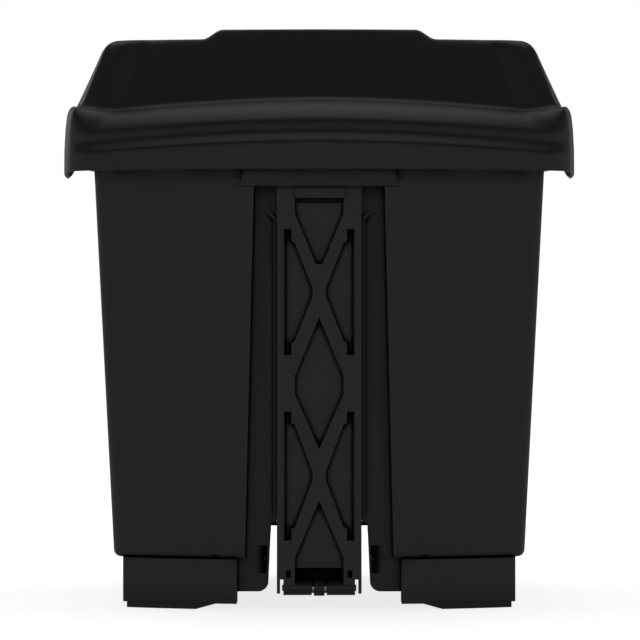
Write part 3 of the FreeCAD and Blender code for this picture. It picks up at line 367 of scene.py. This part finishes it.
def lid_moulding():
    """The lid's outer skin: rows from the skirt's edge up to the shoulder, and a filled top."""
    base = lid_outline(0.0)
    count = len(base)
    normals = []
    for i in range(count):
        (ax, ay), (bx, by) = base[i - 1], base[(i + 1) % count]
        length = math.hypot(bx - ax, by - ay)
        normals.append(((ay - by) / -length, (bx - ax) / -length))
    ends = [abs(facing_y) ** END_SHARE_POWER * (1.0 - END_SHARE_FADE * (x / END_FADE_X) ** 2)
            for (_, facing_y), (x, _) in zip(normals, base)]
    edge = [SKIRT_Z + SKIRT_LIFT * (1.0 - smooth_step(y, *SKIRT_RUN)) for _, y in base]

    def band_top(i):
        """Height of the band's top edge at a point of the plan."""
        x, y = base[i]
        end_z = END_CREST_Z - END_SAG * (x / END_SAG_X) ** 2
        side_z = SIDE_CREST_Z - SIDE_SAG * ((y - SIDE_CREST_Y) / SIDE_SAG_Y) ** 2
        facing = normals[i][1] ** 2
        return facing * end_z + (1.0 - facing) * side_z

    tops = [band_top(i) for i in range(count)]
    rows = []

    def add_row(insets, heights):
        """A row whose inset is shared between its end and side values, point by point."""
        near, far = lid_outline(insets[0]), lid_outline(insets[1])
        row = []
        for i in range(count):
            x = near[i][0] * ends[i] + far[i][0] * (1.0 - ends[i])
            y = near[i][1] * ends[i] + far[i][1] * (1.0 - ends[i])
            row.append((x, y, heights(i, x)))
        rows.append(row)

    for rise, end_in, side_in in SKIRT_ROWS:
        add_row((end_in, side_in), lambda i, x, rise=rise: edge[i] + rise)
    for k, (depth, end_in, side_in) in enumerate(BAND_ROWS):
        clear = BAND_CLEAR + BAND_CLEAR_STEP * k
        add_row((end_in, side_in), lambda i, x, clear=clear, depth=depth:
                max(tops[i] - depth, edge[i] + clear))
    wall_insets = [foot + WALL_SLOPE * (SHOULDER_Z - z) for foot, z in zip(WALL_FOOT_INSETS, WALL_FOOT_Z)]
    for step in range(1, WALL_STEPS):
        share = step / WALL_STEPS
        insets = [foot + (wall - foot) * share for foot, wall in zip(WALL_FOOT_INSETS, wall_insets)]
        add_row(insets, lambda i, x, share=share: tops[i] + (SHOULDER_Z - tops[i]) * share)
    for rise, end_in, side_in, spine in SHOULDER_ROWS:
        insets = (wall_insets[0] + end_in, wall_insets[1] + side_in)
        add_row(insets, lambda i, x, rise=rise, spine=spine:
                SHOULDER_Z + rise + SPINE_RISE * spine * spine_share(x))
        lean = [WALL_SLOPE * SPINE_RISE * spine * spine_share(p[0]) * n[1] for p, n in zip(rows[-1], normals)]
        rows[-1] = [(x, y + shift, z) for (x, y, z), shift in zip(rows[-1], lean)]

    shell = bmesh.new()
    grid = [[shell.verts.new(Vector(p) * MM) for p in row] for row in rows]
    for low, high in zip(grid, grid[1:]):
        for i in range(count):
            j = (i + 1) % count
            shell.faces.new((low[i], high[i], high[j], low[j]))
    close_top(shell, rows[-1], grid[-1])
    bmesh.ops.recalc_face_normals(shell, faces=shell.faces)
    return piece_from(shell, "lid_moulding")


def close_top(shell, loop, rim):
    """Fill the lid's top with a grid whose lines run with the spine, from the rear end to the front."""
    columns, across = 2 * END_STEPS, SIDE_STEPS
    count = len(loop)
    rear = [(END_STEPS - c) % count for c in range(columns + 1)]
    front = [(END_STEPS + SIDE_STEPS + c) % count for c in range(columns + 1)]
    right = [(END_STEPS + r) % count for r in range(across + 1)]
    left = [(-END_STEPS - r) % count for r in range(across + 1)]
    grid = []
    for r in range(across + 1):
        v = r / across
        line = []
        for c in range(columns + 1):
            u = c / columns
            if r == 0:
                line.append(rim[rear[c]])
            elif r == across:
                line.append(rim[front[c]])
            elif c == 0:
                line.append(rim[right[r]])
            elif c == columns:
                line.append(rim[left[r]])
            else:
                shade_reach = [loop[rear[0]], loop[rear[-1]], loop[front[0]], loop[front[-1]]]
                place = [(1 - v) * loop[rear[c]][k] + v * loop[front[c]][k]
                         + (1 - u) * loop[right[r]][k] + u * loop[left[r]][k]
                         - ((1 - u) * (1 - v) * shade_reach[0][k] + u * (1 - v) * shade_reach[1][k]
                            + (1 - u) * v * shade_reach[2][k] + u * v * shade_reach[3][k]) for k in (0, 1)]
                edge = min(u, 1.0 - u, v, 1.0 - v)
                dome = (1.0 - (2.0 * v - 1.0) ** 2) * (1.0 - (2.0 * u - 1.0) ** 2)
                height = (SHOULDER_Z + SHOULDER_ROWS[-1][0] + CROWN * dome * smooth_step(edge, 0.0, CROWN_RUN)
                          + SPINE_RISE * spine_share(place[0]))
                line.append(shell.verts.new(Vector((place[0], place[1], height)) * MM))
        grid.append(line)
    for near, far in zip(grid, grid[1:]):
        for c in range(columns):
            shell.faces.new((near[c], near[c + 1], far[c + 1], far[c]))


def piece_from(shape, name):
    """Turn a finished bmesh into a smooth-shaded object."""
    mesh = bpy.data.meshes.new(name)
    shape.to_mesh(mesh)
    shape.free()
    mesh.polygons.foreach_set("use_smooth", [True] * len(mesh.polygons))
    piece = bpy.data.objects.new(name, mesh)
    bpy.context.collection.objects.link(piece)
    return piece


PLATE_EDGE_ANGLE = 40.0


def inner_plates(name, outline, spans, edge):
    """Plates inside the lid: an outline of (y, z) points, repeated over each span of x."""
    shape = bmesh.new()
    for x0, x1 in spans:
        face = shape.faces.new([shape.verts.new(Vector((x0, y, z)) * MM) for y, z in outline])
        grown = bmesh.ops.extrude_face_region(shape, geom=[face])
        moved = [v for v in grown["geom"] if isinstance(v, bmesh.types.BMVert)]
        bmesh.ops.translate(shape, verts=moved, vec=Vector((x1 - x0, 0.0, 0.0)) * MM)
    bmesh.ops.recalc_face_normals(shape, faces=shape.faces)
    piece = piece_from(shape, name)
    break_edges(piece, edge, PLATE_EDGE_ANGLE)
    return piece


def both_sides(low, high):
    """A span of x and its mirror image."""
    return ((low, high), (-high, -low))


def barrel_under(y, z, radius):
    """The lower half of a round barrel, as (y, z) points."""
    turns = [math.radians(a) for a in range(-180, 1, 15)]
    return [(y + radius * math.cos(t), z + radius * math.sin(t)) for t in turns]


def finish_lid_piece(piece, *replaced):
    dress(piece, lid_plastic)
    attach(piece, "lid")
    if replaced:
        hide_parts(*replaced)


lid_plastic = grained_plastic("lid_plastic", level=0.0105, roughness=0.46, grain=0.8, scuffs=0.4)
lid = lid_moulding()
walls = lid.modifiers.new("walls", "SOLIDIFY")
walls.thickness = LID_THICK * MM
walls.offset = -1.0
walls.use_even_offset = True
walls.use_rim = True
finish_lid_piece(lid, "lid_shell")

HINGE_Y, HINGE_Z, KNUCKLE_R = 184.4, 336.0, 6.0
knuckle = barrel_under(HINGE_Y, HINGE_Z, KNUCKLE_R)
inner_arm = knuckle + [(190.4, 361.5), (186.0, 369.8), (178.4, 376.6)]
outer_arm = knuckle + [(190.4, 355.5), (186.0, 366.3), (178.4, 374.6)]
finish_lid_piece(inner_plates("lid_inner_arms", inner_arm, both_sides(26.0, 34.4), 0.6 * MM))
finish_lid_piece(inner_plates("lid_outer_arms", outer_arm, both_sides(53.6, 62.0), 0.6 * MM))
rib_outline = [(134.0, 355.0), (180.0, 355.0), (180.0, 376.2), (167.0, 381.2), (163.0, 382.5),
               (146.4, 419.0), (140.5, 433.4), (134.0, 435.6)]
finish_lid_piece(inner_plates("lid_lug_ribs", rib_outline, both_sides(10.2, 13.2), 0.5 * MM))

# Posts: x, y and the height of the top at POST_WALL_X, for the pair behind and the pair in front
POST_PAIRS = ((175.5, 70.0, 404.5), (175.0, -70.0, 399.5))
POST_WALL_X = 175.5
POST_FOOT_Z = 349.0
POST_LENGTH = 52.0
POST_FOOT_R, POST_TOP_R = 4.0, 4.6


def lid_posts():
    """Four round posts that come down to the rim; their tops are cut to the slope of the wall."""
    shape = bmesh.new()
    for side in (1.0, -1.0):
        for x, y, reach in POST_PAIRS:
            made = bmesh.ops.create_cone(shape, cap_ends=True, segments=32, radius1=POST_FOOT_R * MM,
                                         radius2=POST_TOP_R * MM, depth=POST_LENGTH * MM)
            for vert in made["verts"]:
                high = vert.co.z > 0.0
                vert.co.x += side * x * MM
                vert.co.y += y * MM
                top = reach - (abs(vert.co.x) / MM - POST_WALL_X) / WALL_SLOPE
                vert.co.z = (top if high else POST_FOOT_Z) * MM
    piece = piece_from(shape, "lid_posts")
    break_edges(piece, 0.4 * MM, PLATE_EDGE_ANGLE)
    return piece


finish_lid_piece(lid_posts())
soften("lid_bumpers", foot_rubber, 0.3 * MM)

# ---------------------------------------------------------------------------------------------
# Shade plate: a plate across the back end of the pedal lever, in front of the strut's foot, riding with the
# pedal.
# Its near-black colour is painted shade, much darker than the lever's plastic, standing for the deep shade
# there.

SHADE_PLATE_HALF = 26.6
# Near-black colour and far-reaching corner darkening: painted shade.
shade_plate_black = grained_plastic("shade_plate_black", level=0.003, roughness=0.7, scuffs=0.2, shade_reach=20.0 * MM)
shade_plate_outline = [(146.5, 12.5), (151.2, 12.5), (151.2, 31.6), (149.4, 32.0), (147.0, 31.2)]
shade_plate = inner_plates("painted_shade_plate", shade_plate_outline, ((-SHADE_PLATE_HALF, SHADE_PLATE_HALF),), 0.4 * MM)
dress(shade_plate, shade_plate_black)
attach(shade_plate, "pedal")

# ---------------------------------------------------------------------------------------------
# Tunnel cheeks: two small webs of the plinth behind the rounded sides of the strut's tunnel.
# Same black plastic as the plinth, moulded with it.

cheek_outline = [(129.0, 20.5), (133.2, 20.5), (133.2, 30.5), (131.0, 32.0), (129.0, 30.5)]
cheeks = inner_plates("tunnel_cheeks", cheek_outline, both_sides(39.2, 46.5), 0.3 * MM)
dress(cheeks, base_plastic)
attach(cheeks, "root")

# ---------------------------------------------------------------------------------------------
# Lift lug: a black moulded arm between the lid's two ribs, held by two cross screws.
# Its upper corner is cut back to clear the roll of the lid's rim; the lift pin runs in its eye.

LUG_HALF = 10.0
EYE_Y, EYE_Z, EYE_R = 159.0, 316.5, 6.0
lug_outline = barrel_under(EYE_Y, EYE_Z, EYE_R) + [(164.4, 350.0), (173.5, 357.0), (173.5, 375.6),
                                                   (162.0, 379.4), (158.0, 387.0), (144.0, 388.0),
                                                   (144.0, 357.0), (153.6, 350.0)]
lug = inner_plates("lift_lug_arm", lug_outline, ((-LUG_HALF, LUG_HALF),), 0.6 * MM)
dress(lug, linkage_plastic)
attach(lug, "lid")
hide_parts("lift_lug")

# ---------------------------------------------------------------------------------------------
# Studio: a pale matt floor that runs out of sight, with a soft light overhead and a broad, weak
# one behind and in front. The air is pale low down and dim overhead, and white to the camera.

FLOOR_SIZE = 600.0
FLOOR_FILL = 0.12


def floor_finish():
    """Matt paint that looks brighter the further it is from the middle."""
    material, tree, shader = shader_tree("floor_paint")
    shader.inputs["Base Color"].default_value = grey(0.92)
    shader.inputs["Roughness"].default_value = 0.9
    shader.inputs["Emission Color"].default_value = grey(1.0)
    seen = node(tree, "ShaderNodeLightPath").outputs["Is Camera Ray"]
    away = node(tree, "ShaderNodeVectorMath", {0: object_space(tree)}, operation="LENGTH").outputs["Value"]
    glow = span(tree, away, 0.25, 1.2, 0.80, 0.97)
    strength = node(tree, "ShaderNodeMix", {"Factor": seen, "A": FLOOR_FILL, "B": glow}).outputs["Result"]
    tree.links.new(strength, shader.inputs["Emission Strength"])
    return material


bpy.ops.mesh.primitive_plane_add(size=FLOOR_SIZE)
floor = bpy.context.object
floor.name = "studio_floor"
dress(floor, floor_finish())


def soft_light(name, place, aim, width, height, power):
    """A rectangular light, with its place, aim and size in metres and its power in watts."""
    data = bpy.data.lights.new(name, "AREA")
    data.shape = "RECTANGLE"
    data.size, data.size_y, data.energy = width, height, power
    lamp = bpy.data.objects.new(name, data)
    bpy.context.collection.objects.link(lamp)
    lamp.location = place
    lamp.rotation_euler = (Vector(aim) - Vector(place)).to_track_quat("-Z", "Y").to_euler()


soft_light("overhead", place=(0.0, -0.6, 2.2), aim=(0.0, -0.6, 0.3), width=2.6, height=2.0, power=13.8)
soft_light("back_fill", place=(0.0, 4.2, 1.2), aim=(0.0, 0.0, 0.2), width=3.0, height=2.0, power=2.0)
soft_light("front_fill", place=(2.4, -3.6, 1.4), aim=(0.0, 0.0, 0.2), width=2.0, height=1.6, power=5.0)

world = bpy.data.worlds.new("studio")
bpy.context.scene.world = world
world.use_nodes = True
air = world.node_tree
direction = node(air, "ShaderNodeTexCoord").outputs["Generated"]
heading = node(air, "ShaderNodeSeparateXYZ", {"Vector": direction})
low_band = span(air, heading.outputs["Z"], 0.22, 0.52, 0.54, 0.035)
back_share = span(air, heading.outputs["Y"], -0.5, 0.2, 0.45, 1.0)
walls_lit = node(air, "ShaderNodeMath", {0: low_band, 1: back_share}, operation="MULTIPLY").outputs[0]
camera_ray = node(air, "ShaderNodeLightPath").outputs["Is Camera Ray"]
seen_air = node(air, "ShaderNodeMath", {0: walls_lit, 1: camera_ray}, operation="MAXIMUM").outputs[0]
air.links.new(seen_air, air.nodes["Background"].inputs["Strength"])
air.nodes["Background"].inputs["Color"].default_value = (1.0, 1.0, 1.0, 1.0)
bpy.context.scene.view_settings.view_transform = "Standard"

# The camera stands behind the can, level with its middle
CAMERA_PLACE = (-0.0006, 2.8, 0.2179)
camera_data = bpy.data.cameras.new("camera")
camera_data.sensor_width = 36.0
camera_data.lens = 197.1
camera_data.clip_end = 1000.0
camera = bpy.data.objects.new("camera", camera_data)
bpy.context.collection.objects.link(camera)
camera.location = CAMERA_PLACE
camera.rotation_euler = (math.radians(90.0), 0.0, math.radians(180.0))
bpy.context.scene.camera = camera
